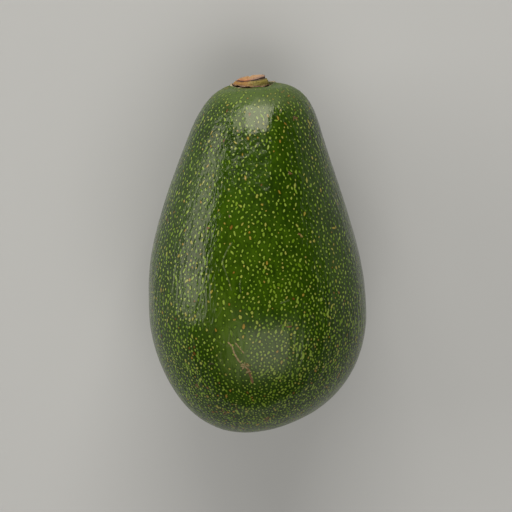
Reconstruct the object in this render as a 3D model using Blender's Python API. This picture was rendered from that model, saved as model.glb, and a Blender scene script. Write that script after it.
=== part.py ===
"""A whole green-skinned avocado, lying on its side.

Two solids: the fruit, a smooth pear shape lofted from round sections, and the woody stub of
its stalk, which sits in a shallow seat at the stem end. Metres, +Z up. The fruit lies along Y
with its stem end at +Y, its neck drooping a little towards the surface that it rests on, and
a small flat spot under the belly at z = 0. The origin is below the middle of its outer box.
"""

import math

import bpy
from mathutils import Matrix, Vector

# The fruit, measured along its own axis from the blossom end (station) and out from it (radius).
LENGTH = 0.1122
BELLY_STATION = 0.0385
BELLY_RADIUS = 0.035
NECK_STATION = 0.0963
NECK_RADIUS = 0.0212
NECK_TAPER = 0.35  # how fast the radius falls along the neck
# Lengths of the curve handles on the way from the blossom end to the stem end.
BLOSSOM_HANDLES = (0.0257, 0.0143)
FLANK_HANDLES = (0.0164, 0.034)
SHOULDER_HANDLES = (0.016, 0.0089)
# The axis wanders sideways: its distance to +X at four evenly spaced control points.
AXIS_SWAY = (0.0017, 0.0015, -0.0028, 0.0011)
BLOSSOM_SLANT = 0.147  # the blossom end leans, so that it reaches further on its -X side
SLANT_POWER = 6  # how quickly the lean fades away from the blossom end

# How it lies.
DROOP = math.radians(8.0)  # the neck points this far down
FLAT_DEPTH = 0.0007  # how much the flat spot takes off the belly

# Seat of the stalk stub, a shallow round recess in the stem end.
SEAT_RADIUS = 0.0065
SEAT_DEPTH = 0.0012
SEAT_OFFSET = Vector((-0.0022, 0.0, 0.0))
SEAT_LEAN = math.radians(6.0)  # the seat faces up by this much from the fruit's axis
GAP = 0.0003

# The stalk stub: (radius, height) up its turned outline.
STUB_OUTLINE = (
    (0.0050, 0.0),
    (0.0056, 0.0003),
    (0.0058, 0.0008),
    (0.0055, 0.0014),
    (0.0051, 0.0020),
    (0.0044, 0.0023),
    (0.0045, 0.0025),
    (0.0048, 0.0028),
    (0.0047, 0.0032),
    (0.0041, 0.0035),
)
STUB_SLANT = 0.12  # slope of the broken top, higher on the +X side
STUB_SLANT_START = 0.0014  # height where the slope begins to build up

RINGS_PER_ARC = 13
FRUIT_SIDES = 60
STUB_SIDES = 40
CUTTER_SIZE = 0.05

SKIN_COLOUR = (0.033, 0.068, 0.005, 1.0)
SKIN_ROUGHNESS = 0.35
STUB_COLOUR = (0.27, 0.16, 0.05, 1.0)
STUB_ROUGHNESS = 0.8


def clear_scene():
    for obj in list(bpy.data.objects):
        bpy.data.objects.remove(obj, do_unlink=True)


def bezier(controls, t):
    """The value at t on the cubic curve with these four control values."""
    a, b, c, d = controls
    return (1 - t) ** 3 * a + 3 * (1 - t) ** 2 * t * b + 3 * (1 - t) * t**2 * c + t**3 * d


def outline_arcs():
    """The fruit's outline as three curves of four (station, radius) points each."""
    blossom = (
        (0.0, 0.0),
        (0.0, BLOSSOM_HANDLES[0]),
        (BELLY_STATION - BLOSSOM_HANDLES[1], BELLY_RADIUS),
        (BELLY_STATION, BELLY_RADIUS),
    )
    flank = (
        (BELLY_STATION, BELLY_RADIUS),
        (BELLY_STATION + FLANK_HANDLES[0], BELLY_RADIUS),
        (NECK_STATION - FLANK_HANDLES[1], NECK_RADIUS + NECK_TAPER * FLANK_HANDLES[1]),
        (NECK_STATION, NECK_RADIUS),
    )
    shoulder = (
        (NECK_STATION, NECK_RADIUS),
        (NECK_STATION + SHOULDER_HANDLES[0], NECK_RADIUS - NECK_TAPER * SHOULDER_HANDLES[0]),
        (LENGTH, SHOULDER_HANDLES[1]),
        (LENGTH, 0.0),
    )
    return blossom, flank, shoulder


def fruit_sections():
    """(station, radius) of every round section between the two ends."""
    sections = []
    for arc in outline_arcs():
        stations, radii = zip(*arc)
        for ring in range(RINGS_PER_ARC):
            t = ring / RINGS_PER_ARC
            sections.append((bezier(stations, t), bezier(radii, t)))
    return sections[1:]


def axis_point(station):
    return Vector((bezier(AXIS_SWAY, station / LENGTH), station, 0.0))


def ring_point(station, radius, turn):
    """A point on the section at this station, leaning near the blossom end."""
    side = radius * math.cos(turn)
    lean = BLOSSOM_SLANT * (1 - station / LENGTH) ** SLANT_POWER
    return axis_point(station) + Vector((side, lean * side, radius * math.sin(turn)))


def lofted(name, rings, first_tip, last_tip):
    """A closed mesh object through rings of equal size, pointed at first_tip and last_tip."""
    sides = len(rings[0])
    points = [point for ring in rings for point in ring] + [first_tip, last_tip]
    first, last = len(points) - 2, len(points) - 1
    faces = []
    for side in range(sides):
        after = (side + 1) % sides
        faces.append((first, after, side))
        for ring in range(len(rings) - 1):
            low, high = ring * sides, (ring + 1) * sides
            faces.append((low + side, low + after, high + after, high + side))
        top = (len(rings) - 1) * sides
        faces.append((top + side, top + after, last))
    mesh = bpy.data.meshes.new(name)
    mesh.from_pydata(points, [], faces)
    mesh.shade_smooth()
    obj = bpy.data.objects.new(name, mesh)
    bpy.context.scene.collection.objects.link(obj)
    return obj


def give_material(obj, name, colour, roughness):
    material = bpy.data.materials.new(name)
    material.use_nodes = True
    shader = material.node_tree.nodes["Principled BSDF"]
    shader.inputs["Base Color"].default_value = colour
    shader.inputs["Roughness"].default_value = roughness
    shader.inputs["Metallic"].default_value = 0.0
    obj.data.materials.append(material)


def cut(obj, cutter):
    modifier = obj.modifiers.new(cutter.name, "BOOLEAN")
    modifier.operation = "DIFFERENCE"
    modifier.solver = "EXACT"
    modifier.object = cutter
    cutter.hide_render = True
    cutter.display_type = "WIRE"


def seat_frame():
    """Places +Z of a stub or cutter along the seat's own axis, with z = 0 on the seat's floor."""
    floor = axis_point(LENGTH - SEAT_DEPTH) + SEAT_OFFSET
    upright_to_stem = Matrix.Rotation(math.radians(-90.0) + SEAT_LEAN, 4, "X")
    return Matrix.Translation(floor) @ upright_to_stem


def make_fruit():
    turns = [math.tau * side / FRUIT_SIDES for side in range(FRUIT_SIDES)]
    rings = [
        [ring_point(station, radius, -turn) for turn in turns]
        for station, radius in fruit_sections()
    ]
    fruit = lofted("fruit", rings, axis_point(0.0), axis_point(LENGTH))
    give_material(fruit, "skin", SKIN_COLOUR, SKIN_ROUGHNESS)
    return fruit


def make_cylinder(name, radius, height, sides):
    """A closed cylinder that stands on z = 0."""
    turns = [math.tau * side / sides for side in range(sides)]
    ring = [Vector((radius * math.cos(turn), radius * math.sin(turn), 0.0)) for turn in turns]
    rings = [[point + Vector((0.0, 0.0, z)) for point in ring] for z in (0.0, height)]
    return lofted(name, rings, Vector(), Vector((0.0, 0.0, height)))


def make_stub():
    """The stub of the stalk, turned about +Z, with a slanting break."""
    rings = []
    top = STUB_OUTLINE[-1][1]
    for radius, height in STUB_OUTLINE:
        slope = STUB_SLANT * max(0.0, height - STUB_SLANT_START) / (top - STUB_SLANT_START)
        ring = []
        for side in range(STUB_SIDES):
            turn = math.tau * side / STUB_SIDES
            x = radius * math.cos(turn)
            ring.append(Vector((x, radius * math.sin(turn), height + slope * x)))
        rings.append(ring)
    stub = lofted("stem_button", rings, Vector(), Vector((0.0, 0.0, top)))
    give_material(stub, "dry_stem", STUB_COLOUR, STUB_ROUGHNESS)
    return stub


def lying_frame(fruit):
    """Lays the fruit down: neck drooping, lowest skin below z = 0, box centred on the origin."""
    droop = Matrix.Rotation(-DROOP, 4, "X")
    corners = [droop @ vertex.co for vertex in fruit.data.vertices]
    middle_x = (min(p.x for p in corners) + max(p.x for p in corners)) / 2
    lowest = min(p.z for p in corners)
    return Matrix.Translation((-middle_x, 0.0, -lowest - FLAT_DEPTH)) @ droop


def main():
    clear_scene()
    fruit = make_fruit()
    seat = make_cylinder("seat_cutter", SEAT_RADIUS, CUTTER_SIZE, STUB_SIDES)
    floor = make_cylinder("flat_spot_cutter", CUTTER_SIZE, CUTTER_SIZE, STUB_SIDES)
    stub = make_stub()

    lying = lying_frame(fruit)
    fruit.matrix_world = lying
    seat.matrix_world = lying @ seat_frame()
    stub.matrix_world = lying @ seat_frame() @ Matrix.Translation((0.0, 0.0, GAP))

    # Slide everything along Y, so that the origin is halfway between the two ends.
    fruit_ys = [(lying @ vertex.co).y for vertex in fruit.data.vertices]
    stub_ys = [(stub.matrix_world @ vertex.co).y for vertex in stub.data.vertices]
    slide = Matrix.Translation((0.0, -(min(fruit_ys) + max(stub_ys)) / 2, 0.0))
    for obj in (fruit, seat, stub):
        obj.matrix_world = slide @ obj.matrix_world
    contact_y = min(
        (fruit.matrix_world @ vertex.co for vertex in fruit.data.vertices),
        key=lambda point: point.z,
    ).y
    floor.matrix_world = Matrix.Translation((0.0, contact_y, -CUTTER_SIZE))

    cut(fruit, seat)
    cut(fruit, floor)


main()
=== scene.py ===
"""The finished look of a whole green avocado lying on its side.

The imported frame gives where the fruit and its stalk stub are. This script makes a fine skin over
the fruit, with its lumps, its corky speckles and its marks, and a detailed dry stub, and puts
them on a pale floor under five soft lights. Metres, +Z up, stem end at +Y.
"""

import math

import bpy
import numpy as np
from mathutils import Matrix, Vector, kdtree, noise


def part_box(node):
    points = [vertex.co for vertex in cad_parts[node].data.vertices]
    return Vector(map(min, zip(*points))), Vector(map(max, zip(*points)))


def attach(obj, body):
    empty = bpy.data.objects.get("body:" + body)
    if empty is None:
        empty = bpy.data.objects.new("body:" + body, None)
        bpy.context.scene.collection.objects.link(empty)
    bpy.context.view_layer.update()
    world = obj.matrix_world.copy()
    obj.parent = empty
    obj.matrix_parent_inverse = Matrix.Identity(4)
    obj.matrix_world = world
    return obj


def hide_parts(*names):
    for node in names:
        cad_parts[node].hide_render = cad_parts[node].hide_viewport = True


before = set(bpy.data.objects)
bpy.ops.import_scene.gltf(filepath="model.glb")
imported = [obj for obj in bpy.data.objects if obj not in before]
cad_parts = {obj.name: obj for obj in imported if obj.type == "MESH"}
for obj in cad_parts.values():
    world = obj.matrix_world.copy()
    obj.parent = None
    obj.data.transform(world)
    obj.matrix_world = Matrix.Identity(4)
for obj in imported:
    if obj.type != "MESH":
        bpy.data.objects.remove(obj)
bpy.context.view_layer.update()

MM = 0.001
rng = np.random.default_rng(713)

# ---- The fruit's own shape: station along its axis from the blossom end, radius out from it ----

LENGTH = 112.2 * MM
BELLY = (38.5 * MM, 35.0 * MM)
NECK = (96.3 * MM, 21.2 * MM)
NECK_TAPER = 0.35
BLOSSOM_HANDLES = (25.7 * MM, 14.3 * MM)
FLANK_HANDLES = (16.4 * MM, 34.0 * MM)
SHOULDER_HANDLES = (16.0 * MM, 8.9 * MM)
AXIS_SWAY = (1.7 * MM, 1.5 * MM, -2.8 * MM, 1.1 * MM)
BLOSSOM_SLANT = 0.147
SLANT_POWER = 6
DROOP = math.radians(8.0)
FLAT_DEPTH = 0.7 * MM
SEAT_RADIUS = 6.5 * MM
SEAT_DEPTH = 1.2 * MM
SEAT_OFFSET = -2.2 * MM
SEAT_LEAN = math.radians(6.0)

SIDES = 384  # columns of the skin mesh
RINGS = 250  # rows of the skin mesh
CAP_RADIUS = 12.0 * MM  # inside this the rows turn about the stub and not about the axis
DIP_DEPTH = 1.45 * MM  # the skin sinks this much on the upper side of the stub
DIP_REACH = (6.5 * MM, 13.5 * MM)
LIP_HEIGHT = 0.55 * MM
LUMPS = (  # height and size in mm, how much longer they are along the fruit, noise offset
    (0.22, 17.0, 1.4, 1.3),
    (0.060, 6.5, 2.0, 5.2),
    (0.026, 2.6, 3.2, 9.4),
)
NECK_CALM = 0.75  # how much of the lumps is missing on top of the neck
FLOOR_SOFTNESS = 0.12 * MM  # how gently the belly rounds off at the floor
OUTLINE_SAMPLES = 400  # on each arc of the outline
STUB_DETAIL = (9.5 * MM, 2.6)  # this near the axis at the stem end, rows are 2.6 times closer


def bezier(controls, t):
    a, b, c, d = controls
    return (1 - t) ** 3 * a + 3 * (1 - t) ** 2 * t * b + 3 * (1 - t) * t**2 * c + t**3 * d


def smooth_step(low, high, value):
    t = np.clip((value - low) / (high - low), 0.0, 1.0)
    return t * t * (3 - 2 * t)


def fruit_outline():
    """Evenly spaced (stations, radii) along the outline, closer together round the stub."""
    blossom = (
        (0.0, 0.0),
        (0.0, BLOSSOM_HANDLES[0]),
        (BELLY[0] - BLOSSOM_HANDLES[1], BELLY[1]),
        BELLY,
    )
    flank = (
        BELLY,
        (BELLY[0] + FLANK_HANDLES[0], BELLY[1]),
        (NECK[0] - FLANK_HANDLES[1], NECK[1] + NECK_TAPER * FLANK_HANDLES[1]),
        NECK,
    )
    shoulder = (
        NECK,
        (NECK[0] + SHOULDER_HANDLES[0], NECK[1] - NECK_TAPER * SHOULDER_HANDLES[0]),
        (LENGTH, SHOULDER_HANDLES[1]),
        (LENGTH, 0.0),
    )
    arcs = (blossom, flank, shoulder)
    t = np.linspace(0.0, 1.0, OUTLINE_SAMPLES)
    stations = np.concatenate([bezier([p[0] for p in arc], t) for arc in arcs])
    radii = np.concatenate([bezier([p[1] for p in arc], t) for arc in arcs])
    steps = np.hypot(np.diff(stations), np.diff(radii))
    near_stub = (stations[1:] > NECK[0]) & (radii[1:] < STUB_DETAIL[0])
    weights = steps * np.where(near_stub, STUB_DETAIL[1], 1.0)
    along = np.concatenate([[0.0], np.cumsum(weights)])
    wanted = np.linspace(0.0, along[-1], RINGS + 2)
    return np.interp(wanted, along, stations), np.interp(wanted, along, radii)


def axis_x(station):
    return bezier(AXIS_SWAY, station / LENGTH)


OUTLINE_STATIONS, OUTLINE_RADII = fruit_outline()


def surface(row, turn):
    """Points of the smooth skin, in the fruit's own frame: x sideways, y along, z up.

    row is a fractional index into the outline and turn goes from the top towards +X.
    """
    index = np.arange(len(OUTLINE_STATIONS))
    station = np.interp(row, index, OUTLINE_STATIONS)
    radius = np.interp(row, index, OUTLINE_RADII)
    x = radius * np.sin(turn)
    z = radius * np.cos(turn)
    lean = BLOSSOM_SLANT * (1 - station / LENGTH) ** SLANT_POWER
    y = station + lean * x
    # Round the stub the rows are centred on the seat, and follow the dome's height there.
    on_cap = (station > NECK[0]) * (1 - smooth_step(0.4 * CAP_RADIUS, 1.3 * CAP_RADIUS, radius))
    x_cap = x + SEAT_OFFSET * on_cap
    from_axis = np.hypot(x_cap, z)
    dome_rows = OUTLINE_STATIONS > NECK[0]
    dome_radii = OUTLINE_RADII[dome_rows][::-1]
    dome_stations = OUTLINE_STATIONS[dome_rows][::-1]
    dome_y = np.interp(from_axis, dome_radii, dome_stations)
    y = np.where(on_cap > 0, dome_y, y)
    return np.stack([x_cap + axis_x(station), y, z], axis=-1)


DROOP_MATRIX = np.array(Matrix.Rotation(-DROOP, 3, "X"))


def lying_place():
    """Where the fruit's own origin goes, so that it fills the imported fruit's box."""
    rows, turns = np.meshgrid(
        np.linspace(0, RINGS + 1, 300), np.linspace(0, math.tau, 360), indexing="ij"
    )
    points = surface(rows, turns).reshape(-1, 3) @ DROOP_MATRIX.T
    low, high = (np.array(corner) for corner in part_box("fruit"))
    middle_x = (points[:, 0].min() + points[:, 0].max()) / 2
    return np.array(
        [
            (low[0] + high[0]) / 2 - middle_x,
            low[1] - points[:, 1].min(),
            low[2] - FLAT_DEPTH - points[:, 2].min(),
        ]
    )


PLACE = lying_place()


def to_world(points):
    return points @ DROOP_MATRIX.T + PLACE


def seat_matrix():
    """Places +Z along the seat's own axis, with z = 0 on the seat's floor."""
    floor_station = LENGTH - SEAT_DEPTH
    floor = np.array([axis_x(floor_station) + SEAT_OFFSET, floor_station, 0.0])
    lying = Matrix.Rotation(-DROOP, 4, "X")
    to_stem = Matrix.Rotation(math.radians(-90.0) + SEAT_LEAN, 4, "X")
    return Matrix.Translation(Vector(to_world(floor))) @ lying @ to_stem


def noise_at(points, size, stretch=(1.0, 1.0, 1.0), seed=0.0):
    """Smooth noise between about -1 and 1 at points, with bumps of this size."""
    scaled = points / size / np.array(stretch) + seed
    flat = scaled.reshape(-1, 3)
    values = np.fromiter((noise.noise(point) for point in flat.tolist()), float, len(flat))
    return values.reshape(points.shape[:-1])


def from_top_of(turn):
    """How far each turn is from the top of the fruit, in radians."""
    return np.abs(np.angle(np.exp(1j * turn)))


def normals_of(grid):
    """Outward unit normals of a grid of points whose columns close on themselves."""
    along = np.gradient(grid, axis=0)
    across = np.roll(grid, -1, axis=1) - np.roll(grid, 1, axis=1)
    normal = np.cross(across, along)
    return normal / np.maximum(np.linalg.norm(normal, axis=-1, keepdims=True), 1e-12)


# ---- The skin mesh ----


def shape_seat(points, seat):
    """Sinks the stub's seat, dips the skin above it and raises the thin torn lip round it.

    Also returns, for each point, how much it belongs to the lip and to the seat's floor.
    """
    to_seat = np.array(seat.inverted())
    local = points @ to_seat[:3, :3].T + to_seat[:3, 3]
    from_centre = np.hypot(local[..., 0], local[..., 1])
    on_end = local[..., 2] > -9 * MM
    angle = np.arctan2(local[..., 1], local[..., 0])
    above = smooth_step(-0.1, 0.9, -np.sin(angle))
    dip = DIP_DEPTH * above * (1 - smooth_step(DIP_REACH[0], DIP_REACH[1], from_centre))
    local[..., 2] -= np.where(on_end, dip, 0.0)
    ring = np.stack([np.cos(angle), np.sin(angle), 0 * angle], axis=-1)
    edge = SEAT_RADIUS + 0.3 * MM * noise_at(ring, 0.4, seed=3.1)
    inside = np.where(on_end, 1 - smooth_step(edge - 0.25 * MM, edge + 0.2 * MM, from_centre), 0.0)
    lip = np.exp(-(((from_centre - edge - 0.35 * MM) / (0.4 * MM)) ** 2)) * (1 - inside) * on_end
    raggedness = np.clip(0.7 + 1.1 * noise_at(ring, 0.22, seed=8.7), 0.1, 1.6)
    sideways = 0.3 + 0.7 * np.cos(angle) ** 2
    local[..., 2] = local[..., 2] * (1 - inside) + LIP_HEIGHT * raggedness * sideways * lip
    from_seat = np.array(seat)
    return local @ from_seat[:3, :3].T + from_seat[:3, 3], lip * raggedness * sideways, inside


def skin_grid():
    """The skin's points in world space, with the station and turn of each."""
    rows = np.arange(1, RINGS + 1, dtype=float)
    turns = np.arange(SIDES) * math.tau / SIDES + math.pi
    row, turn = np.meshgrid(rows, turns, indexing="ij")
    own = surface(row, turn)
    smooth = to_world(own)
    lumps = 0.0
    for height, size, stretch, offset in LUMPS:
        lumps = lumps + height * noise_at(own, size * MM, (1.0, stretch, 1.0), offset)
    strength = smooth_step(1.0, 7.0, RINGS - row) * smooth_step(0.0, 4.0, row)
    on_neck = smooth_step(62 * MM, 74 * MM, own[..., 1])
    on_top = smooth_step(math.radians(48), math.radians(20), from_top_of(turn))
    strength *= 1 - NECK_CALM * on_neck * on_top
    points = smooth + normals_of(smooth) * (lumps * strength * MM)[..., None]
    return own, points, turn


def flatten_at_floor(points):
    """Rounds the belly off against the resting surface, so that nothing dips below it."""
    height = points[..., 2]
    points[..., 2] = (height + np.sqrt(height**2 + FLOOR_SOFTNESS**2)) / 2
    return points


def grid_faces(rows, sides):
    """Faces over a grid of rings, with a last point at either end."""
    first, last = rows * sides, rows * sides + 1
    side = np.arange(sides)
    after = (side + 1) % sides
    low = (np.arange(rows - 1) * sides)[:, None]
    quads = np.stack([low + side, low + after, low + sides + after, low + sides + side], axis=-1)
    start = [(first, int(b), int(a)) for a, b in zip(side, after)]
    top = (rows - 1) * sides
    end = [(top + int(a), top + int(b), last) for a, b in zip(side, after)]
    return start + quads.reshape(-1, 4).tolist() + end


def add_mesh(name, points, faces):
    mesh = bpy.data.meshes.new(name)
    mesh.from_pydata(points.tolist(), [], faces)
    mesh.validate()
    mesh.shade_smooth()
    piece = bpy.data.objects.new(name, mesh)
    bpy.context.scene.collection.objects.link(piece)
    return piece


def add_point_values(mesh, name, values):
    attribute = mesh.attributes.new(name, "FLOAT_VECTOR", "POINT")
    attribute.data.foreach_set("vector", np.ascontiguousarray(values, np.float32).ravel())


# ---- Lenticels: the corky speckles of the skin ----

SPACING = ((0.0, 0.92), (22.0, 1.02), (38.0, 1.2), (60.0, 1.37), (85.0, 1.52), (112.0, 1.15))
HALF_WIDTH = ((0.0, 0.28), (30.0, 0.29), (60.0, 0.27), (85.0, 0.235), (112.0, 0.23))
HALF_LENGTH = ((0.0, 0.36), (30.0, 0.38), (60.0, 0.40), (85.0, 0.42), (112.0, 0.33))
CALM_PATCHES = (  # (station, turn, reach, how much wider apart the speckles are)
    (25.0, -15.0, 4.5, 0.9),
    (30.5, -12.0, 4.5, 0.6),
    (35.0, -18.0, 5.5, 0.8),
    (43.0, -22.0, 6.5, 0.6),
    (56.0, -18.0, 8.0, 0.25),
    (108.0, 0.0, 9.0, 0.2),
    (50.0, 160.0, 16.0, 0.5),
)
BARE_PATCHES = CALM_PATCHES[:5]  # those of the lighter patch on the belly
CANDIDATES = 150000
CLUMP_SIZE = 3.2 * MM
CLUMPING = 0.07
RIGHT_SIDE_DENSER = 0.07
UNEVEN_SPACING = 0.18
# Neighbours are surely found this near. The sparsest spots ask for up to about 3.5 mm, so a few
# speckles there may stand closer than their spacing says.
SEARCH_CELL = 2.6 * MM
SIZE_SPREAD = 0.22
STRETCH_SPREAD = 0.28
TILT_SPREAD = 0.45
LENTICEL_LAYERS = ("lenticel", "lenticel_next", "lenticel_third")


def by_station(table, station):
    stations, values = zip(*table)
    return np.interp(station / MM, stations, values) * MM


def patch_weight(station, turn, patch_station, patch_turn, reach):
    """How strongly a round patch of the skin covers each place, from 0 to 1."""
    radius = np.interp(station, OUTLINE_STATIONS, OUTLINE_RADII)
    across = np.angle(np.exp(1j * (turn - math.radians(patch_turn)))) * radius
    along = station - patch_station * MM
    return np.exp(-(across**2 + along**2) / (reach * MM) ** 2)


def lenticel_spacing(station, turn):
    spacing = by_station(SPACING, station)
    for patch_station, patch_turn, reach, widening in CALM_PATCHES:
        spacing *= 1 + widening * patch_weight(station, turn, patch_station, patch_turn, reach)
    right_side = 0.5 + 0.5 * np.sin(turn)
    return spacing * (1 - RIGHT_SIDE_DENSER * right_side * smooth_step(75 * MM, 30 * MM, station))


def scattered():
    """(row, turn) of speckles that keep their local distance from each other."""
    index = np.arange(len(OUTLINE_STATIONS))
    steps = np.hypot(np.diff(OUTLINE_STATIONS), np.diff(OUTLINE_RADII))
    middles = (OUTLINE_RADII[1:] + OUTLINE_RADII[:-1]) / 2
    area = np.concatenate([[0.0], np.cumsum(steps * middles)])
    row = np.interp(rng.random(CANDIDATES) * area[-1], area, index)
    turn = rng.random(CANDIDATES) * math.tau
    station = np.interp(row, index, OUTLINE_STATIONS)
    places = surface(row, turn)
    clumps = noise_at(places, CLUMP_SIZE, (1.0, 1.5, 1.0), 6.6)
    apart = lenticel_spacing(station, turn) * (1 + CLUMPING * clumps)
    apart *= rng.uniform(1 - UNEVEN_SPACING, 1 + UNEVEN_SPACING, CANDIDATES)
    keys = np.floor(places / SEARCH_CELL).astype(int)
    taken = {}
    kept = []
    for i, (point, key, reach) in enumerate(zip(places.tolist(), keys.tolist(), apart.tolist())):
        near = (
            other
            for dx in (-1, 0, 1)
            for dy in (-1, 0, 1)
            for dz in (-1, 0, 1)
            for other in taken.get((key[0] + dx, key[1] + dy, key[2] + dz), ())
        )
        if all(math.dist(point, other[0]) > min(reach, other[1]) for other in near):
            taken.setdefault(tuple(key), []).append((point, reach))
            kept.append(i)
    kept = np.array(kept)
    return row[kept], turn[kept], station[kept]


def lenticels():
    """Centre, direction along, direction across, half length, half width and tint of each."""
    row, turn, station = scattered()
    centre = to_world(surface(row, turn))
    along, across = tangents(row, turn)
    size = np.exp(rng.normal(0.0, SIZE_SPREAD, len(row)))
    stretch = np.exp(rng.normal(0.0, STRETCH_SPREAD, len(row)))
    tilt = rng.normal(0.0, TILT_SPREAD, len(row))[:, None]
    half_length = by_station(HALF_LENGTH, station) * size * stretch
    half_width = by_station(HALF_WIDTH, station) * size
    tilted_along = along * np.cos(tilt) + across * np.sin(tilt)
    tilted_across = across * np.cos(tilt) - along * np.sin(tilt)
    rusty = smooth_step(75 * MM, 98 * MM, station)
    tint = rng.random(len(row)) ** (1 - 0.4 * rusty)
    return centre, tilted_along, tilted_across, half_length, half_width, tint


def corner_points(mesh):
    """The position of every face corner, and how many corners each face has."""
    corners = np.empty(len(mesh.loops), np.int32)
    mesh.loops.foreach_get("vertex_index", corners)
    counts = np.empty(len(mesh.polygons), np.int32)
    mesh.polygons.foreach_get("loop_total", counts)
    points = np.empty(len(mesh.vertices) * 3, np.float32)
    mesh.vertices.foreach_get("co", points)
    return points.reshape(-1, 3)[corners], counts


def add_corner_values(mesh, name, values):
    attribute = mesh.attributes.new(name, "FLOAT_VECTOR", "CORNER")
    attribute.data.foreach_set("vector", np.ascontiguousarray(values, np.float32).ravel())


def add_lenticels(mesh):
    """Stores in each face corner where it is within the nearest speckles, in their half sizes."""
    centre, along, across, half_length, half_width, tint = lenticels()
    tree = kdtree.KDTree(len(centre))
    for i, point in enumerate(centre.tolist()):
        tree.insert(point, i)
    tree.balance()
    ranks = len(LENTICEL_LAYERS)
    hits = [[hit[1] for hit in tree.find_n(face.center, ranks)] for face in mesh.polygons]
    nearest = np.array(hits)
    points, counts = corner_points(mesh)
    for rank, name in enumerate(LENTICEL_LAYERS):
        own = np.repeat(nearest[:, rank], counts)
        offset = points - centre[own]
        across_part = np.sum(offset * across[own], axis=1) / half_width[own]
        along_part = np.sum(offset * along[own], axis=1) / half_length[own]
        add_corner_values(mesh, name, np.stack([across_part, along_part, tint[own]], axis=1))


# ---- Node helpers ----


class Nodes:
    """A short way to build one material's node tree."""

    def __init__(self, name):
        self.material = bpy.data.materials.new(name)
        self.material.use_nodes = True
        self.tree = self.material.node_tree
        self.shader = self.tree.nodes["Principled BSDF"]

    def node(self, kind, **settings):
        made = self.tree.nodes.new(kind)
        for key, value in settings.items():
            setattr(made, key, value)
        return made

    def link(self, source, target):
        if isinstance(source, bpy.types.NodeSocket):
            self.tree.links.new(source, target)
        else:
            target.default_value = source

    def math(self, operation, a, b=0.0, c=0.0):
        made = self.node("ShaderNodeMath", operation=operation)
        for value, socket in zip((a, b, c), made.inputs):
            self.link(value, socket)
        return made.outputs[0]

    def add(self, a, b):
        return self.math("ADD", a, b)

    def times(self, a, b):
        return self.math("MULTIPLY", a, b)

    def rest(self, value):
        """One minus the value."""
        return self.math("SUBTRACT", 1.0, value)

    def most(self, values):
        """The largest of these."""
        largest = values[0]
        for value in values[1:]:
            largest = self.math("MAXIMUM", largest, value)
        return largest

    def ramp(self, value, low, high):
        """0 below low, 1 above high and smooth between them; turned round where high < low."""
        made = self.node("ShaderNodeMapRange", interpolation_type="SMOOTHSTEP")
        self.link(value, made.inputs["Value"])
        made.inputs["From Min"].default_value = min(low, high)
        made.inputs["From Max"].default_value = max(low, high)
        made.inputs["To Min"].default_value = 0.0 if low < high else 1.0
        made.inputs["To Max"].default_value = 1.0 if low < high else 0.0
        return made.outputs["Result"]

    def mix(self, factor, a, b):
        made = self.node("ShaderNodeMix", data_type="RGBA")
        self.link(factor, made.inputs["Factor"])
        self.link(a, made.inputs["A"])
        self.link(b, made.inputs["B"])
        return made.outputs["Result"]

    def place(self, scale=(1.0, 1.0, 1.0)):
        coordinates = self.node("ShaderNodeTexCoord").outputs["Object"]
        made = self.node("ShaderNodeMapping")
        self.link(coordinates, made.inputs["Vector"])
        made.inputs["Scale"].default_value = scale
        return made.outputs["Vector"]

    def noise(self, vector, scale, detail=2.0, roughness=0.5):
        made = self.node("ShaderNodeTexNoise")
        self.link(vector, made.inputs["Vector"])
        made.inputs["Scale"].default_value = scale
        made.inputs["Detail"].default_value = detail
        made.inputs["Roughness"].default_value = roughness
        return made.outputs["Fac"]

    def noise_vector(self, vector, scale):
        made = self.node("ShaderNodeTexNoise")
        self.link(vector, made.inputs["Vector"])
        made.inputs["Scale"].default_value = scale
        return made.outputs["Color"]

    def parts(self, name):
        """The three numbers of a mesh attribute."""
        attribute = self.node("ShaderNodeAttribute", attribute_name=name)
        split = self.node("ShaderNodeSeparateXYZ")
        self.link(attribute.outputs["Vector"], split.inputs[0])
        return split.outputs

    def tints(self, value, stops):
        """A colour ramp over value with these (position, colour) stops."""
        made = self.node("ShaderNodeValToRGB")
        self.link(value, made.inputs[0])
        ramp = made.color_ramp.elements
        ramp[0].position, ramp[0].color = stops[0]
        ramp[1].position, ramp[1].color = stops[-1]
        for position, colour in stops[1:-1]:
            ramp.new(position).color = colour
        return made.outputs["Color"]

    def bump(self, height, distance, normal=None):
        made = self.node("ShaderNodeBump")
        made.inputs["Strength"].default_value = 1.0
        made.inputs["Distance"].default_value = distance
        self.link(height, made.inputs["Height"])
        if normal is not None:
            self.link(normal, made.inputs["Normal"])
        return made.outputs["Normal"]

    def set(self, name, value):
        self.link(value, self.shader.inputs[name])


# ---- The skin's colours ----

DARK_GREEN = (0.0088, 0.0230, 0.0003, 1.0)
MID_GREEN = (0.025, 0.056, 0.0010, 1.0)
LIGHT_GREEN = (0.038, 0.071, 0.0022, 1.0)
# Dust on the stem end, lightened further by a painted sheen.
DUST_AND_SHEEN_GREEN = (0.046, 0.074, 0.014, 1.0)
SCUFF_GREEN = (0.060, 0.078, 0.020, 1.0)
SPECKLE_TINTS = (  # position on the ramp, colour
    (0.0, (0.062, 0.115, 0.003, 1.0)),
    (0.35, (0.104, 0.168, 0.011, 1.0)),
    (0.80, (0.164, 0.222, 0.030, 1.0)),
    (0.94, (0.205, 0.200, 0.036, 1.0)),
    (0.985, (0.195, 0.115, 0.014, 1.0)),
    (1.0, (0.075, 0.026, 0.005, 1.0)),
)
SCUFF, TAN, RUST, DARK = 0.0, 0.33, 0.66, 1.0  # kinds of mark, as positions on their ramp
MARK_TINTS = (
    (SCUFF, SCUFF_GREEN),
    (TAN, (0.215, 0.150, 0.078, 1.0)),
    (RUST, (0.115, 0.048, 0.021, 1.0)),
    (DARK, (0.024, 0.015, 0.005, 1.0)),
)
PAPER = (0.30, 0.23, 0.15, 1.0)
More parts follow.
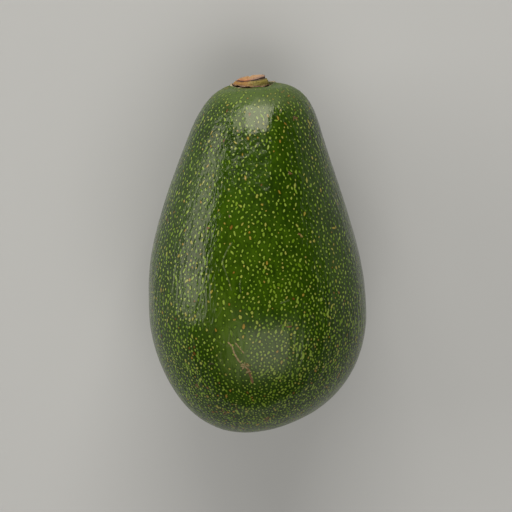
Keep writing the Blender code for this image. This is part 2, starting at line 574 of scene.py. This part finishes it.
SEAT_BROWN = (0.020, 0.008, 0.004, 1.0)


# How strongly each part of the skin's look covers what is below it, and the wax's gloss.
WAX_IOR = 1.36
WAX_TINT = (1.0, 0.96, 0.80, 1.0)
ROUGHNESS = 0.08
ROUGHER = {"broad": 0.09, "dust_and_sheen": 0.30, "base": 0.12, "bare": 0.12, "worn": 0.28}
# How much the stem end's dust and painted sheen cover the green, and how much of the speckles they
# hide.
DUST_AND_SHEEN_COVER = 0.8
DUST_AND_SHEEN_OVER_SPECKLES = 0.2
# Painted shade: how far the flanks are darkened towards dark green, leaving the top lighter.
FLANK_PAINTED_SHADE = 0.45
HALO_REACH = 2.4  # in half sizes of a speckle
HALO_SHADE = (0.7, 0.25)  # everywhere, and how much more on the base
NET_COVER = 0.55
MARK_COVER = (0.5, 0.38)  # of a scuff, and how much more of the other kinds of mark
STREAK_STRETCH = (1.0, 0.4, 1.0)
NET_SCALE = 210.0  # cells of the net per metre
NET_WARP = (0.004, 0.004, 0.004)  # how far its lines wander, in metres

# Heights of the relief that is finer than the mesh.
RIPPLE_HEIGHT = 0.26 * MM
WAVE_HEIGHT = 0.11 * MM
SPECKLE_HEIGHT = 0.02 * MM
MARK_HEIGHT = 0.04 * MM
TOP_RIPPLES = 0.3  # what is left of the ripples along the top
RIPPLE_STRETCH = (1.0, 0.22, 1.0)


def radial(n, x, y):
    return n.math("SQRT", n.add(n.math("POWER", x, 2.0), n.math("POWER", y, 2.0)))


def ragged_edge(n, length, grain, amount):
    return n.add(length, n.times(n.math("SUBTRACT", grain, 0.5), amount))


def ground_colour(n, zones, flank, broad, fine):
    """The green between the speckles: mottled, lighter on the bare patch, paler at the stem with dust
    and a painted sheen, and darkened on the flanks by painted shade.
    """
    mottled = n.add(n.times(broad, 0.5), n.times(fine, 0.5))
    colour = n.mix(n.ramp(mottled, 0.36, 0.62), DARK_GREEN, MID_GREEN)
    colour = n.mix(n.times(zones["X"], n.ramp(fine, 0.1, 0.6)), colour, LIGHT_GREEN)
    # Dust and a painted sheen lighten the stem end.
    colour = n.mix(n.times(zones["Y"], DUST_AND_SHEEN_COVER), colour, DUST_AND_SHEEN_GREEN)
    # Painted shade: the flanks, away from the stem end, are darkened towards dark green.
    painted_shade = n.times(flank, n.rest(zones["Y"]))
    return n.mix(n.times(painted_shade, FLANK_PAINTED_SHADE), colour, DARK_GREEN)


def with_speckles(n, colour, zones, tints, lengths):
    """Darkens the ground next to the speckles and lays them over it.

    A speckle's length is the distance from its middle, 1 at its edge.
    """
    everywhere, on_base = HALO_SHADE
    halo = n.most([n.ramp(length, HALO_REACH, 1.0) for length in lengths])
    halo = n.times(halo, n.add(everywhere, n.times(zones["Z"], on_base)))
    colour = n.mix(halo, colour, DARK_GREEN)
    grain = n.noise(n.place(), 2600.0, 1.0)
    full = n.rest(n.times(zones["Y"], DUST_AND_SHEEN_OVER_SPECKLES))
    for tint, length in zip(tints, lengths):
        inside = n.ramp(ragged_edge(n, length, grain, 1.2), 1.2, 0.7)
        colour = n.mix(n.times(inside, full), colour, n.tints(tint, SPECKLE_TINTS))
    return colour


def scuff_net(n, bare, fine):
    """Where a net of hair-thin scuffs shows on the bare patch."""
    place = n.place()
    warped = n.node("ShaderNodeVectorMath", operation="MULTIPLY_ADD")
    n.link(n.noise_vector(place, 160.0), warped.inputs[0])
    warped.inputs[1].default_value = NET_WARP
    n.link(place, warped.inputs[2])
    web = n.node("ShaderNodeTexVoronoi", feature="DISTANCE_TO_EDGE")
    n.link(warped.outputs[0], web.inputs["Vector"])
    web.inputs["Scale"].default_value = NET_SCALE
    hair = n.times(n.ramp(web.outputs["Distance"], 0.045, 0.005), n.ramp(fine, 0.42, 0.6))
    return n.times(hair, n.ramp(bare, 0.15, 0.7))


def worn_skin(n, mark):
    """1 inside a mark and 0 outside, with a ragged edge."""
    grain = n.noise(n.place(), 1500.0, 3.0, 0.65)
    return n.ramp(ragged_edge(n, radial(n, mark["X"], mark["Y"]), grain, 1.1), 1.3, 0.6)


def with_marks(n, colour, mark, worn):
    scuff, others = MARK_COVER
    cover = n.add(scuff, n.times(n.ramp(mark["Z"], 0.1, 0.3), others))
    return n.mix(n.times(worn, cover), colour, n.tints(mark["Z"], MARK_TINTS))


def skin_roughness(n, zones, broad, worn):
    values = {"broad": broad, "dust_and_sheen": zones["Y"], "base": zones["Z"], "bare": zones["X"], "worn": worn}
    rough = ROUGHNESS
    for name, more in ROUGHER.items():
        rough = n.add(rough, n.times(values[name], more))
    return rough


def skin_normal(n, flank, lengths, worn):
    """Ripples along the fruit, the low domes of the speckles on its flanks, and the marks."""
    along = n.place(RIPPLE_STRETCH)
    ripples = n.times(n.noise(along, 850.0, 2.0, 0.5), n.add(TOP_RIPPLES, flank))
    normal = n.bump(ripples, RIPPLE_HEIGHT)
    normal = n.bump(n.noise(along, 330.0, 1.0), WAVE_HEIGHT, normal)
    domes = n.most([n.ramp(length, 1.7, 0.4) for length in lengths])
    normal = n.bump(n.times(domes, flank), SPECKLE_HEIGHT, normal)
    return n.bump(worn, MARK_HEIGHT, normal)


def skin_material():
    n = Nodes("avocado_skin")
    zones = n.parts("zones")
    seat = n.parts("seat")
    mark = n.parts("mark")
    speckles = [n.parts(name) for name in LENTICEL_LAYERS]
    lengths = [radial(n, speckle["X"], speckle["Y"]) for speckle in speckles]
    flank = seat["Z"]
    broad = n.noise(n.place(), 45.0, 3.0, 0.55)
    fine = n.noise(n.place(STREAK_STRETCH), 480.0, 3.0, 0.6)
    worn = worn_skin(n, mark)

    colour = ground_colour(n, zones, flank, broad, fine)
    colour = with_speckles(n, colour, zones, [speckle["Z"] for speckle in speckles], lengths)
    colour = n.mix(n.times(scuff_net(n, zones["X"], fine), NET_COVER), colour, SCUFF_GREEN)
    colour = with_marks(n, colour, mark, worn)
    colour = n.mix(n.ramp(seat["X"], 0.25, 0.75), colour, PAPER)
    colour = n.mix(seat["Y"], colour, SEAT_BROWN)

    n.set("Base Color", colour)
    n.set("Roughness", skin_roughness(n, zones, broad, worn))
    n.set("Normal", skin_normal(n, flank, lengths, worn))
    n.set("IOR", WAX_IOR)
    n.set("Specular Tint", WAX_TINT)
    return n.material


# ---- Marks on the skin, placed by (station in mm, turn in degrees) ----

STROKES = (  # kind, half width in mm, the line that it follows
    (TAN, 0.30, ((32.1, -16.0), (30.9, -14.0), (28.4, -13.0), (26.2, -11.0), (25.0, -9.0))),
    (TAN, 0.22, ((31.9, -12.0), (30.3, -10.0), (28.7, -8.0))),
    (SCUFF, 0.2, ((35.6, -14.0), (33.8, -15.0), (32.1, -16.0))),
    (SCUFF, 0.2, ((33.5, -13.0), (30.0, -12.0), (29.0, -11.0))),
    (RUST, 0.42, ((24.2, -7.0), (22.8, -6.0), (20.9, -5.0), (18.9, -4.5))),
    (SCUFF, 0.22, ((62.6, -13.0), (59.8, -16.0), (56.7, -18.0), (53.7, -16.0))),
    (SCUFF, 0.16, ((53.7, -16.0), (50.5, -14.0), (48.2, -13.0))),
    (SCUFF, 0.18, ((51.4, -8.0), (49.5, -8.5), (47.6, -8.0))),
    (SCUFF, 0.22, ((44.1, 12.0), (45.0, 17.0))),
    (SCUFF, 0.25, ((37.0, 9.0), (37.4, 13.0), (38.1, 17.0))),
    (SCUFF, 0.35, ((47.9, 76.0), (45.6, 77.5), (43.3, 78.0))),
    (TAN, 0.2, ((71.0, -118.0), (63.0, -109.0), (60.0, -110.0))),
    (TAN, 0.25, ((52.0, 128.0), (46.0, 137.0))),
    (SCUFF, 0.2, ((88.0, 150.0), (80.0, 158.0), (77.0, 156.0))),
)
CLUSTERS = (  # kind, station, turn, reach in mm, how many specks
    (TAN, 24.6, -8.0, 1.3, 34),
    (RUST, 24.9, -7.5, 1.6, 9),
    (TAN, 22.6, -6.2, 0.8, 9),
    (RUST, 101.0, 38.0, 1.2, 9),
    (DARK, 94.7, 52.0, 0.9, 6),
    (RUST, 84.0, 26.0, 0.55, 5),
    (RUST, 64.9, 27.0, 0.8, 5),
    (RUST, 36.6, 16.0, 0.5, 3),
    (DARK, 39.3, 30.0, 0.7, 4),
    (DARK, 25.4, -27.0, 0.9, 6),
    (RUST, 17.9, -42.0, 0.7, 6),
    (RUST, 15.0, -46.0, 0.5, 3),
    (RUST, 9.5, -30.0, 1.4, 9),
    (RUST, 6.0, 6.0, 1.3, 12),
    (RUST, 70.6, -15.0, 0.4, 2),
    (RUST, 93.9, -27.0, 0.4, 2),
    (RUST, 67.1, -28.0, 0.4, 2),
    (DARK, 57.0, 121.0, 1.0, 8),
    (RUST, 22.0, 165.0, 1.2, 10),
    (DARK, 86.0, -131.0, 0.9, 7),
    (RUST, 12.0, 100.0, 1.0, 8),
)
MARK_REACH = 3.0 * MM
SPECK_STEP = 1.1 * MM  # length of one ellipse along a stroke
FAR_MARK = 9.0  # in half sizes, where there is no mark


def tangents(row, turn):
    """Unit vectors along and across the skin at each place, in world space."""
    along = to_world(surface(row + 0.25, turn)) - to_world(surface(row - 0.25, turn))
    across = to_world(surface(row, turn + 0.01)) - to_world(surface(row, turn - 0.01))
    return [v / np.maximum(np.linalg.norm(v, axis=1, keepdims=True), 1e-12) for v in (along, across)]


def row_at(station):
    return np.interp(station, OUTLINE_STATIONS, np.arange(len(OUTLINE_STATIONS)))


def stroke_specks(kind, half_width, line):
    """Overlapping ellipses along a line: centre, long axis, short axis, half sizes, kind."""
    stations, turns = np.array(line).T
    places = to_world(surface(row_at(stations * MM), np.radians(turns)))
    specks = []
    for start, end in zip(places, places[1:]):
        length = np.linalg.norm(end - start)
        direction = (end - start) / length
        count = max(1, round(length / SPECK_STEP))
        for k in range(count):
            middle = start + (end - start) * (k + 0.5) / count
            specks.append((middle, direction, 0.62 * length / count, half_width * MM, kind))
    return specks


def cluster_specks(kind, station, turn, reach, count):
    """Short ellipses strewn round a place, mostly pointing away from its middle."""
    row = row_at(np.array([station * MM]))
    turn = np.radians([turn])
    middle = to_world(surface(row, turn))[0]
    along, across = (v[0] for v in tangents(row, turn))
    specks = []
    for _ in range(count):
        angle = rng.uniform(0, math.tau)
        away = along * math.cos(angle) + across * math.sin(angle)
        out = reach * MM * math.sqrt(rng.random()) * 0.8
        size = rng.uniform(0.22, 0.42) * MM
        specks.append((middle + away * out, away, size * rng.uniform(1.0, 1.8), size * 0.65, kind))
    return specks


def add_marks(mesh):
    """Stores in each face corner where it is within the nearest mark, in its half sizes."""
    specks = [speck for stroke in STROKES for speck in stroke_specks(*stroke)]
    specks += [speck for cluster in CLUSTERS for speck in cluster_specks(*cluster)]
    centres = np.empty(len(mesh.polygons) * 3, np.float32)
    mesh.polygons.foreach_get("center", centres)
    centres = centres.reshape(-1, 3)
    normals = np.empty(len(mesh.polygons) * 3, np.float32)
    mesh.polygons.foreach_get("normal", normals)
    normals = normals.reshape(-1, 3)
    points, counts = corner_points(mesh)
    starts = np.cumsum(counts) - counts
    best = np.full(len(mesh.polygons), 4.0)
    values = np.full((len(points), 3), FAR_MARK)
    for middle, direction, half_length, half_width, kind in specks:
        near = np.flatnonzero(np.linalg.norm(centres - middle, axis=1) < MARK_REACH)
        side = np.cross(normals[near].mean(axis=0), direction)
        side /= np.linalg.norm(side)
        offset = centres[near] - middle
        reach = np.hypot(offset @ direction / half_length, offset @ side / half_width)
        closer = reach < best[near]
        best[near[closer]] = reach[closer]
        for face in near[closer]:
            corners = slice(starts[face], starts[face] + counts[face])
            offset = points[corners] - middle
            values[corners, 0] = offset @ direction / half_length
            values[corners, 1] = offset @ side / half_width
            values[corners, 2] = kind
    add_corner_values(mesh, "mark", values)


def add_zones(mesh, own, turn, lip, floor):
    """Broad differences of the skin, from 0 to 1 at each point.

    zones holds the bare patch, the stem end's dust and painted sheen, and the rougher base. seat holds
    the torn lip, the seat's floor and the flanks, where the skin is rippled and darkened by painted
    shade.
    """
    station = own[..., 1]
    bare = 0.0
    for patch_station, patch_turn, reach, widening in BARE_PATCHES:
        weight = patch_weight(station, turn, patch_station, patch_turn, 1.25 * reach)
        bare = np.maximum(bare, weight * min(1.0, 1.3 * widening))
    uneven = station + 2.2 * MM * noise_at(own, 4.5 * MM, seed=2.7)
    # The stem end's dust, whose colour also holds a painted sheen.
    dust_and_sheen = smooth_step(102.0 * MM, 109.0 * MM, uneven)
    # The flanks: rippled, and darkened by painted shade.
    flank = 0.02 + 0.98 * smooth_step(math.radians(14), math.radians(30), from_top_of(turn))
    base = smooth_step(46.0 * MM, 22.0 * MM, station)
    zones = np.stack([bare, dust_and_sheen, base], axis=-1).reshape(-1, 3)
    seat = np.stack([lip, floor, flank], axis=-1).reshape(-1, 3)
    add_point_values(mesh, "zones", np.concatenate([zones, [[0, 0, 1], [0, 1, 0]]]))
    add_point_values(mesh, "seat", np.concatenate([seat, [[0, 0, 0], [0, 1, 0]]]))


def add_bake_map(mesh):
    """An unrolled map of the skin: turn across and row up, cut along the underside."""
    column, row = np.meshgrid(np.arange(SIDES + 1) / SIDES, (np.arange(RINGS) + 1) / (RINGS + 1))
    values = []
    v = row[0, 0]
    for side in range(SIDES):
        middle = (side + 0.5) / SIDES
        values.append(((middle, 0.0), (column[0, side + 1], v), (column[0, side], v)))
    layer = mesh.uv_layers.new(name="OFBake")
    flat = [pair for face in values for pair in face]
    for ring in range(RINGS - 1):
        v0, v1 = row[ring, 0], row[ring + 1, 0]
        for side in range(SIDES):
            u0, u1 = side / SIDES, (side + 1) / SIDES
            flat += ((u0, v0), (u1, v0), (u1, v1), (u0, v1))
    v = row[-1, 0]
    for side in range(SIDES):
        flat += ((side / SIDES, v), ((side + 1) / SIDES, v), ((side + 0.5) / SIDES, 1.0))
    layer.data.foreach_set("uv", np.array(flat, np.float32).ravel())


def make_skin():
    own, points, turn = skin_grid()
    seat = seat_matrix()
    points, lip, floor = shape_seat(points, seat)
    points = flatten_at_floor(points)
    first_tip = points[0].mean(axis=0)
    last_tip = points[-1].mean(axis=0)
    everything = np.concatenate([points.reshape(-1, 3), [first_tip, last_tip]])
    skin = add_mesh("avocado_skin", everything, grid_faces(RINGS, SIDES))
    add_zones(skin.data, own, turn, lip, floor)
    add_lenticels(skin.data)
    add_marks(skin.data)
    add_bake_map(skin.data)
    skin.data.materials.append(skin_material())
    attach(skin, "root")
    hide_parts("fruit")


# ---- The dry stub of the stalk: a flared collar, a crevice, and a slanting broken disc ----

STUB_ROWS = (  # radius in mm, height in mm, slope towards +X, raggedness, level for the colours
    (0.0, 0.05, 0.0, 0.0, 0.0),
    (4.6, 0.05, 0.0, 0.3, 0.0),
    (5.75, 0.10, 0.0, 1.0, 0.05),
    (6.0, 0.28, 0.0, 1.0, 0.10),
    (5.7, 0.55, 0.0, 0.6, 0.18),
    (5.55, 0.95, 0.02, 0.4, 0.28),
    (5.5, 1.35, 0.05, 0.4, 0.36),
    (5.2, 1.75, 0.10, 0.45, 0.44),
    (4.75, 2.0, 0.12, 0.4, 0.49),
    (4.35, 2.08, 0.12, 0.35, 0.54),
    (4.3, 2.2, 0.12, 0.35, 0.57),
    (4.55, 2.32, 0.13, 0.4, 0.60),
    (4.65, 2.45, 0.14, 0.4, 0.64),
    (4.4, 2.7, 0.16, 0.3, 0.72),
    (3.8, 2.87, 0.17, 0.15, 0.80),
    (2.5, 2.95, 0.17, 0.1, 0.90),
    (1.2, 2.98, 0.16, 0.05, 0.95),
    (0.0, 3.0, 0.16, 0.0, 1.0),
)
STUB_RINGS = 84
STUB_SIDES = 176
STUB_SHIFT = -0.4 * MM


def stub_profile():
    """The control rows, resampled evenly along the outline and rounded a little."""
    rows = np.array(STUB_ROWS)
    steps = np.hypot(np.diff(rows[:, 0]), np.diff(rows[:, 1]))
    along = np.concatenate([[0.0], np.cumsum(steps)])
    wanted = np.linspace(0.0, along[-1], STUB_RINGS)
    fine = np.stack([np.interp(wanted, along, column) for column in rows.T], axis=1)
    for _ in range(3):
        fine[1:-1] = (fine[:-2] + 2 * fine[1:-1] + fine[2:]) / 4
    return fine[1:-1]


def make_stub():
    profile = stub_profile()
    turns = np.arange(STUB_SIDES) * math.tau / STUB_SIDES
    turn, radius = np.meshgrid(turns, profile[:, 0])
    height, slope, ragged, level = (np.repeat(c[:, None], STUB_SIDES, 1) for c in profile.T[1:])
    around = np.stack([np.cos(turn), np.sin(turn), height / 1.6], axis=-1)
    outward = 0.42 * noise_at(around, 0.62, seed=4.4) + 0.25 * noise_at(around, 0.23, seed=7.9)
    upward = 0.55 * noise_at(around, 0.5, seed=12.3) + 0.40 * noise_at(around, 0.2, seed=1.7)
    radius = radius + ragged * outward
    lift = ragged * upward
    ridges = noise_at(around, 0.075, (1.0, 1.0, 6.0), seed=2.2) * smooth_step(0.1, 0.2, level)
    radius = radius + 0.07 * ridges * smooth_step(0.0, 3.0, radius)
    x = radius * np.cos(turn)
    y = radius * np.sin(turn)
    height = np.maximum(height + lift, 0.03) + slope * x
    crumbs = np.stack([x, y, height], axis=-1)
    on_top = smooth_step(0.66, 0.78, level)
    crack = np.exp(-(((x + 0.75 - 0.1 * y) / 0.3) ** 2)) * smooth_step(0.4, 1.8, y) * on_top
    height = height - 0.75 * crack + on_top * 0.10 * noise_at(crumbs, 0.9, seed=5.5)
    height = height + 0.05 * noise_at(crumbs, 0.35, seed=9.1) * smooth_step(0.1, 0.2, level)
    local = np.stack([x, y, height], axis=-1).reshape(-1, 3) * MM
    tips = np.array([[0.0, 0.0, profile[0, 1] * MM], local[-STUB_SIDES:].mean(axis=0)])
    seat = np.array(seat_matrix() @ Matrix.Translation((STUB_SHIFT, 0.0, 0.0)))
    everything = np.concatenate([local, tips]) @ seat[:3, :3].T + seat[:3, 3]
    stub = add_mesh("dry_stub", everything, grid_faces(len(profile), STUB_SIDES))
    values = np.stack([level, x / 5.0, crack], axis=-1).reshape(-1, 3)
    add_point_values(stub.data, "wood", np.concatenate([values, [[0, 0, 0], [1, 0, 0]]]))
    stub.data.materials.append(stub_material())
    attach(stub, "root")
    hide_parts("stem_button")


STUB_LEFT = (  # level, colour: the ochre side
    (0.0, (0.06, 0.025, 0.015, 1.0)),
    (0.07, (0.26, 0.16, 0.11, 1.0)),
    (0.15, (0.24, 0.13, 0.075, 1.0)),
    (0.24, (0.19, 0.085, 0.011, 1.0)),
    (0.45, (0.21, 0.105, 0.013, 1.0)),
    (0.52, (0.08, 0.023, 0.010, 1.0)),
    (0.57, (0.020, 0.005, 0.003, 1.0)),
    (0.61, (0.12, 0.028, 0.018, 1.0)),
    (0.66, (0.24, 0.085, 0.028, 1.0)),
    (1.0, (0.34, 0.185, 0.060, 1.0)),
)
STUB_RIGHT = (  # the olive side
    (0.0, (0.06, 0.025, 0.020, 1.0)),
    (0.07, (0.25, 0.14, 0.11, 1.0)),
    (0.14, (0.20, 0.10, 0.07, 1.0)),
    (0.21, (0.115, 0.085, 0.009, 1.0)),
    (0.45, (0.175, 0.135, 0.010, 1.0)),
    (0.52, (0.065, 0.040, 0.008, 1.0)),
    (0.57, (0.018, 0.006, 0.004, 1.0)),
    (0.61, (0.085, 0.050, 0.045, 1.0)),
    (0.68, (0.20, 0.115, 0.085, 1.0)),
    (1.0, (0.36, 0.205, 0.085, 1.0)),
)


STUB_FLECK = (0.05, 0.018, 0.009, 1.0)
STUB_BLEACHED = (0.40, 0.27, 0.13, 1.0)
STUB_CRACK = (0.02, 0.006, 0.004, 1.0)
STUB_GRAIN_HEIGHT = 0.16 * MM


def stub_material():
    n = Nodes("dry_stub")
    wood = n.parts("wood")
    place = n.place()
    blotches = n.noise(place, 900.0, 3.0, 0.6)
    flecks = n.noise(place, 2600.0, 2.0, 0.6)
    level = ragged_edge(n, wood["X"], blotches, 0.10)
    side = ragged_edge(n, wood["Y"], blotches, 0.9)
    colour = n.mix(n.ramp(side, -0.35, 0.35), n.tints(level, STUB_LEFT), n.tints(level, STUB_RIGHT))
    colour = n.mix(n.ramp(flecks, 0.56, 0.70), colour, STUB_FLECK)
    colour = n.mix(n.times(n.ramp(blotches, 0.58, 0.75), 0.35), colour, STUB_BLEACHED)
    colour = n.mix(n.ramp(wood["Z"], 0.25, 0.8), colour, STUB_CRACK)
    n.set("Base Color", colour)
    n.set("Roughness", n.add(0.5, n.times(flecks, 0.4)))
    n.set("Normal", n.bump(n.noise(place, 1500.0, 4.0, 0.65), STUB_GRAIN_HEIGHT))
    return n.material


# ---- The floor, the lights and the camera ----

FLOOR_RADIUS = 1.7
FLOOR_BEND = 0.2
FLOOR_RISE = 0.03
FLOOR_SIDES = 96
FLOOR_BEND_STEPS = 12
FLOOR_DROP = 0.05 * MM  # clear of the fruit's flat spot
FLOOR_COLOUR = (0.385, 0.384, 0.384, 1.0)
FLOOR_SHADE = (0.354, 0.353, 0.352, 1.0)
FLOOR_ROUGHNESS = 0.7
BACKDROP_GLOW = 1.5  # the far wall and the floor next to it are lit evenly
GLOW_RADII = (1.05, 1.5)


def floor_material():
    n = Nodes("pale_floor")
    grain = n.noise(n.place(), 60.0, 4.0, 0.6)
    n.set("Base Color", n.mix(n.times(grain, 0.12), FLOOR_COLOUR, FLOOR_SHADE))
    n.set("Roughness", FLOOR_ROUGHNESS)
    out = n.node("ShaderNodeSeparateXYZ")
    n.link(n.place(), out.inputs[0])
    far = n.ramp(radial(n, out.outputs["X"], out.outputs["Y"]), *GLOW_RADII)
    n.set("Emission Color", FLOOR_COLOUR)
    n.set("Emission Strength", n.times(far, BACKDROP_GLOW))
    return n.material


def make_floor():
    """A pale round floor that turns up into a low wall far away."""
    outline = [(0.4 * FLOOR_RADIUS, 0.0), (0.8 * FLOOR_RADIUS, 0.0)]
    for step in range(FLOOR_BEND_STEPS + 1):
        angle = math.pi / 2 * step / FLOOR_BEND_STEPS
        out = FLOOR_RADIUS + FLOOR_BEND * math.sin(angle)
        outline.append((out, FLOOR_BEND * (1 - math.cos(angle))))
    outline.append((FLOOR_RADIUS + FLOOR_BEND, FLOOR_BEND + FLOOR_RISE))
    turns = np.arange(FLOOR_SIDES) * math.tau / FLOOR_SIDES
    rings = []
    for radius, height in outline:
        ring = [radius * np.cos(turns), radius * np.sin(turns), 0 * turns + height]
        rings.append(np.stack(ring, axis=-1))
    points = np.concatenate(rings + [np.zeros((1, 3))])
    points[:, 2] -= FLOOR_DROP
    centre = len(points) - 1
    faces = [(centre, side, (side + 1) % FLOOR_SIDES) for side in range(FLOOR_SIDES)]
    for ring in range(len(rings) - 1):
        low, high = ring * FLOOR_SIDES, (ring + 1) * FLOOR_SIDES
        for side in range(FLOOR_SIDES):
            after = (side + 1) % FLOOR_SIDES
            faces.append((low + side, high + side, high + after, low + after))
    floor = add_mesh("floor", points, faces)
    floor.data.materials.append(floor_material())


ROOM_COLOUR = (0.9, 0.95, 1.0, 1.0)
ROOM_STRENGTH = 0.04
LIGHT_TINT = (1.0, 0.98, 0.92)
WINDOWS = (  # name, centre, direction that it faces, (width, height), roll in degrees, radiance
    ("window", (0.03, 1.25, 0.73), (0.0, -1.0, 0.0), (1.0, 0.86), 0.0, 9.6),
    ("window_side", (-0.72, 1.25, 0.70), (0.0, -1.0, 0.0), (0.38, 0.80), 0.0, 5.4),
    ("tall_window_left", (-1.25, 0.54, 0.43), (1.0, 0.0, 0.0), (1.28, 0.80), 10.0, 4.3),
    ("ceiling_bounce", (0.20, -0.66, 1.28), (0.0, 0.0, -1.0), (1.2, 1.0), 0.0, 2.1),
    ("ceiling_spill", (0.24, -0.68, 1.30), (0.0, 0.0, -1.0), (2.0, 1.5), 0.0, 0.8),
)


def soft_light(name, centre, facing, size, roll, radiance):
    """A rectangular light of this radiance."""
    light = bpy.data.lights.new(name, "AREA")
    light.shape = "RECTANGLE"
    light.size, light.size_y = size
    light.energy = radiance * math.pi * size[0] * size[1]
    light.color = LIGHT_TINT
    lamp = bpy.data.objects.new(name, light)
    turned = (-Vector(facing)).to_track_quat("Z", "Y").to_matrix().to_4x4()
    rolled = Matrix.Rotation(math.radians(roll), 4, "Z")
    lamp.matrix_world = Matrix.Translation(centre) @ turned @ rolled
    lamp.visible_camera = False
    bpy.context.scene.collection.objects.link(lamp)


def make_lights():
    for window in WINDOWS:
        soft_light(*window)
    world = bpy.data.worlds.new("dim_room")
    world.use_nodes = True
    background = world.node_tree.nodes["Background"]
    background.inputs["Color"].default_value = ROOM_COLOUR
    background.inputs["Strength"].default_value = ROOM_STRENGTH
    bpy.context.scene.world = world


CAMERA_TARGET = Vector((-0.49 * MM, -0.79 * MM, 33.0 * MM))
CAMERA_DISTANCE = 0.9
CAMERA_ELEVATION = math.radians(102.0)  # past straight overhead, a little towards the stem end
CAMERA_ROLL = math.radians(0.087)
CAMERA_LENS = 197.0


def make_camera():
    data = bpy.data.cameras.new("camera")
    data.lens = CAMERA_LENS
    data.sensor_width = 36.0
    data.clip_start = 0.05
    data.clip_end = 10.0
    camera = bpy.data.objects.new("camera", data)
    back = Vector((0.0, -math.cos(CAMERA_ELEVATION), math.sin(CAMERA_ELEVATION)))
    up = Vector((0.0, 1.0, 0.0))
    up = (up - up.dot(back) * back).normalized()
    right = up.cross(back)
    turned_right = right * math.cos(CAMERA_ROLL) + up * math.sin(CAMERA_ROLL)
    turned_up = up * math.cos(CAMERA_ROLL) - right * math.sin(CAMERA_ROLL)
    axes = Matrix((turned_right, turned_up, back)).transposed().to_4x4()
    camera.matrix_world = Matrix.Translation(CAMERA_TARGET + back * CAMERA_DISTANCE) @ axes
    bpy.context.scene.collection.objects.link(camera)
    bpy.context.scene.camera = camera


make_skin()
make_stub()
make_floor()
make_lights()
make_camera()
bpy.context.scene.view_settings.view_transform = "Standard"
